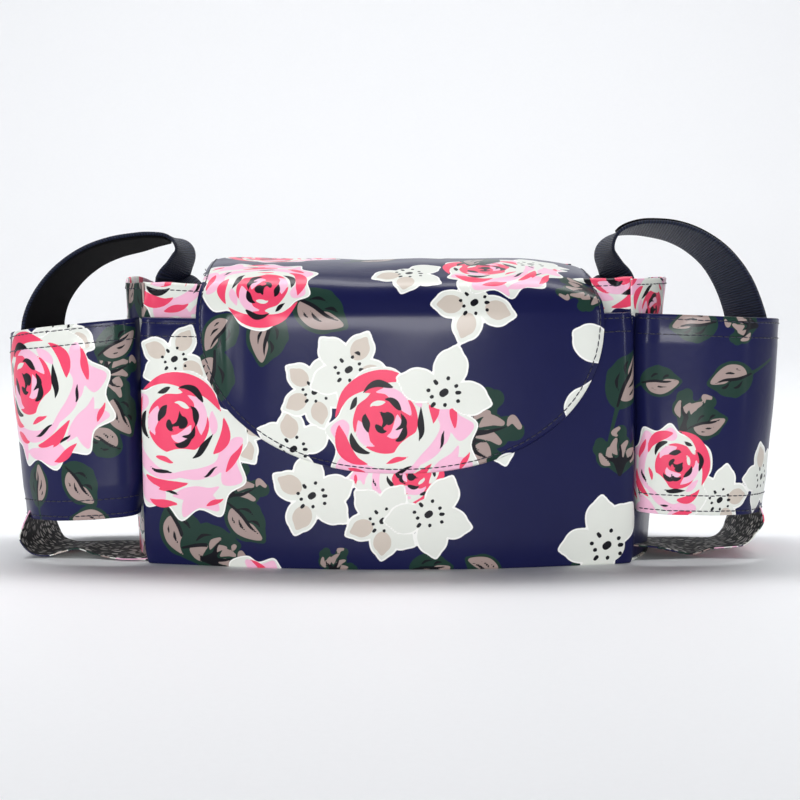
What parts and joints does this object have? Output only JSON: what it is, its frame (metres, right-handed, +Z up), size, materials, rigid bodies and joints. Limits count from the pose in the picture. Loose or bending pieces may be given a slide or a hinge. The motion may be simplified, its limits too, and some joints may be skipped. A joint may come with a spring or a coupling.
{
  "type": "stroller diaper bag",
  "caption": "Padded pouch of printed coated cloth with a fold-over flap, an open bottle pocket with a sling at each side, and twisted webbing hanging straps.",
  "frame": {"origin": "centre of the base, on the surface that the bag stands on", "axes": "+Z up; front with the flap towards -Y; +X to the right of someone facing the front"},
  "size_m": [0.3572, 0.1328, 0.1526],
  "materials": {
    "printed_laminate": "glossy coated cloth, floral print",
    "lining": "matt, pebble dots",
    "foam": "soft sheet foam",
    "board": "stiff sheet",
    "webbing": "ribbed woven webbing",
    "fuzzy_tape": "napped hook and loop tape",
    "magnet": "plated, sewn in"
  },
  "bodies": {
    "pouch": {"bottom_panel": "printed_laminate", "front_panel": "printed_laminate", "back_panel": "printed_laminate", "left_gusset": "printed_laminate", "right_gusset": "printed_laminate", "base_board": "board", "front_foam": "foam", "back_foam": "foam", "lining_tub": "lining", "front_pocket_panel": "printed_laminate", "front_pocket_foam": "foam", "front_pocket_lining": "lining", "pocket_magnet": "magnet", "flap_seam_strip": "printed_laminate", "left_cup_panel": "printed_laminate", "left_cup_lining": "lining", "left_cup_patch": "fuzzy_tape", "left_sling": "printed_laminate", "left_sling_lining": "lining", "left_strap_root": "webbing", "right_cup_panel": "printed_laminate", "right_cup_lining": "lining", "right_cup_patch": "fuzzy_tape", "right_sling": "printed_laminate", "right_sling_lining": "lining", "right_strap_root": "webbing"},
    "flap_top": {"flap_top_laminate": "printed_laminate", "flap_top_foam": "foam", "flap_top_lining": "lining"},
    "flap_front": {"flap_front_laminate": "printed_laminate", "flap_front_foam": "foam", "flap_front_lining": "lining", "flap_magnet": "magnet"},
    "left_strap": {"left_strap_arch": "webbing", "left_strap_tape": "fuzzy_tape"},
    "left_tail": {"left_strap_tail": "webbing", "left_strap_hook": "fuzzy_tape"},
    "right_strap": {"right_strap_arch": "webbing", "right_strap_tape": "fuzzy_tape"},
    "right_tail": {"right_strap_tail": "webbing", "right_strap_hook": "fuzzy_tape"}
  },
  "joints": [
    {"name": "flap_lift", "type": "hinge", "parent": "pouch", "child": "flap_top", "pos_m": [0, 0.05, 0.1275], "axis": [-1, 0, 0], "range_deg": [0, 110]},
    {"name": "flap_unfold", "type": "hinge", "parent": "flap_top", "child": "flap_front", "pos_m": [0, -0.0626, 0.1275], "axis": [-1, 0, 0], "range_deg": [0, 90]},
    {"name": "left_strap_swing", "type": "hinge", "parent": "pouch", "child": "left_strap", "pos_m": [-0.0971, 0.053, 0.1345], "axis": [0, 1, 0], "range_deg": [0, 70]},
    {"name": "left_tail_peel", "type": "hinge", "parent": "left_strap", "child": "left_tail", "pos_m": [-0.1602, 0.0463, 0.0718], "axis": [0.9323, 0, 0.3617], "range_deg": [0, 60]},
    {"name": "right_strap_swing", "type": "hinge", "parent": "pouch", "child": "right_strap", "pos_m": [0.0971, 0.053, 0.1345], "axis": [0, -1, 0], "range_deg": [0, 70]},
    {"name": "right_tail_peel", "type": "hinge", "parent": "right_strap", "child": "right_tail", "pos_m": [0.1602, 0.0463, 0.0718], "axis": [0.9323, 0, -0.3617], "range_deg": [0, 60]}
  ]
}
